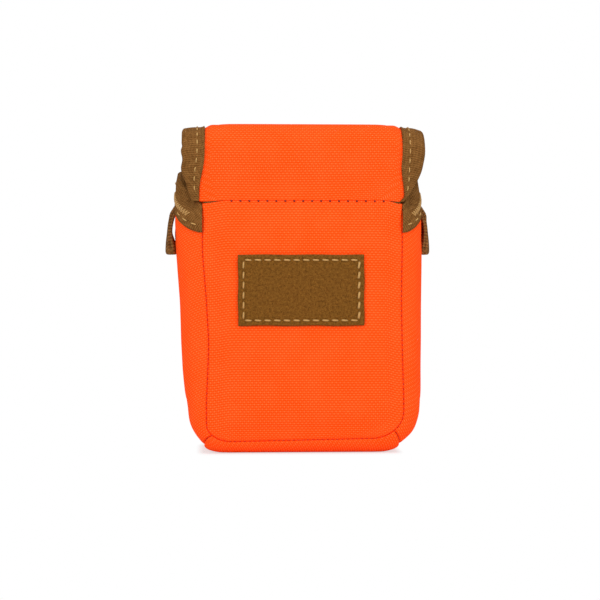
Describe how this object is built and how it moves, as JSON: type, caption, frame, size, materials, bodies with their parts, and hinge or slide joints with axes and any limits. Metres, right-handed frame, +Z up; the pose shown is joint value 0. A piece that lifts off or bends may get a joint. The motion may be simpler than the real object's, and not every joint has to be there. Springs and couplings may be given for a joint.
{
  "type": "lidded field pouch",
  "caption": "Small padded nylon pouch with a forward-opening bound lid, side tether loops, a blank sewn label and rear webbing straps, for a hand-held instrument.",
  "frame": {"origin": "on the surface the pouch stands on, under the middle of its flat base", "axes": "+Z up along the height, the front with the label faces -Y, +X to the right seen from the front"},
  "size_m": [0.11, 0.058, 0.1348],
  "materials": {
    "shell": "matte woven nylon, blaze orange",
    "foam": "closed-cell padding foam, hidden",
    "lining": "plain khaki lining cloth",
    "tape": "ribbed brown binding tape",
    "webbing": "brown nylon webbing",
    "label": "brushed brown leather",
    "thread": "tan sewing thread",
    "magnet": "nickel plated",
    "snap": "blackened"
  },
  "bodies": {
    "pouch": {"front_panel": "shell", "front_foam": "foam", "front_lining": "lining", "hinge_tape": "tape", "back_panel": "shell", "back_foam": "foam", "back_lining": "lining", "back_rim_binding": "tape", "left_gusset": "shell", "right_gusset": "shell", "left_gusset_foam": "foam", "right_gusset_foam": "foam", "left_mouth_binding": "tape", "right_mouth_binding": "tape", "bottom_gusset": "shell", "bottom_foam": "foam", "gusset_lining": "lining", "label_patch": "label", "label_thread": "thread", "left_bartack": "thread", "right_bartack": "thread", "left_back_magnet": "magnet", "right_back_magnet": "magnet", "upper_webbing": "webbing", "lower_webbing": "webbing", "left_strap_anchor": "webbing", "right_strap_anchor": "webbing", "left_snap_stud": "snap", "right_snap_stud": "snap", "left_snap_washer": "snap", "right_snap_washer": "snap"},
    "lid": {"lid_panel": "shell", "lid_foam": "foam", "lid_lining": "lining", "lid_lip_binding": "tape", "lid_pull_tab": "webbing", "left_lid_binding": "tape", "right_lid_binding": "tape", "left_lid_magnet": "magnet", "right_lid_magnet": "magnet"},
    "left_strap": {"left_strap": "webbing", "left_snap_socket": "snap", "left_snap_cap": "snap"},
    "right_strap": {"right_strap": "webbing", "right_snap_socket": "snap", "right_snap_cap": "snap"},
    "left_loop": {"left_tether_loop": "webbing"},
    "right_loop": {"right_tether_loop": "webbing"}
  },
  "joints": [
    {"name": "lid_hinge", "type": "hinge", "parent": "pouch", "child": "lid", "pos_m": [0, -0.022, 0.1027], "axis": [1, 0, 0], "range_deg": [0, 150]},
    {"name": "left_strap_swing", "type": "hinge", "parent": "pouch", "child": "left_strap", "pos_m": [-0.019, 0.0247, 0.0953], "axis": [1, 0, 0], "range_deg": [0, 110]},
    {"name": "right_strap_swing", "type": "hinge", "parent": "pouch", "child": "right_strap", "pos_m": [0.019, 0.0247, 0.0953], "axis": [1, 0, 0], "range_deg": [0, 110]},
    {"name": "left_loop_swing", "type": "hinge", "parent": "pouch", "child": "left_loop", "pos_m": [-0.0516, -0.009, 0.0996], "axis": [0, 1, 0], "range_deg": [0, 75]},
    {"name": "right_loop_swing", "type": "hinge", "parent": "pouch", "child": "right_loop", "pos_m": [0.0516, -0.009, 0.0996], "axis": [0, -1, 0], "range_deg": [0, 75]}
  ]
}
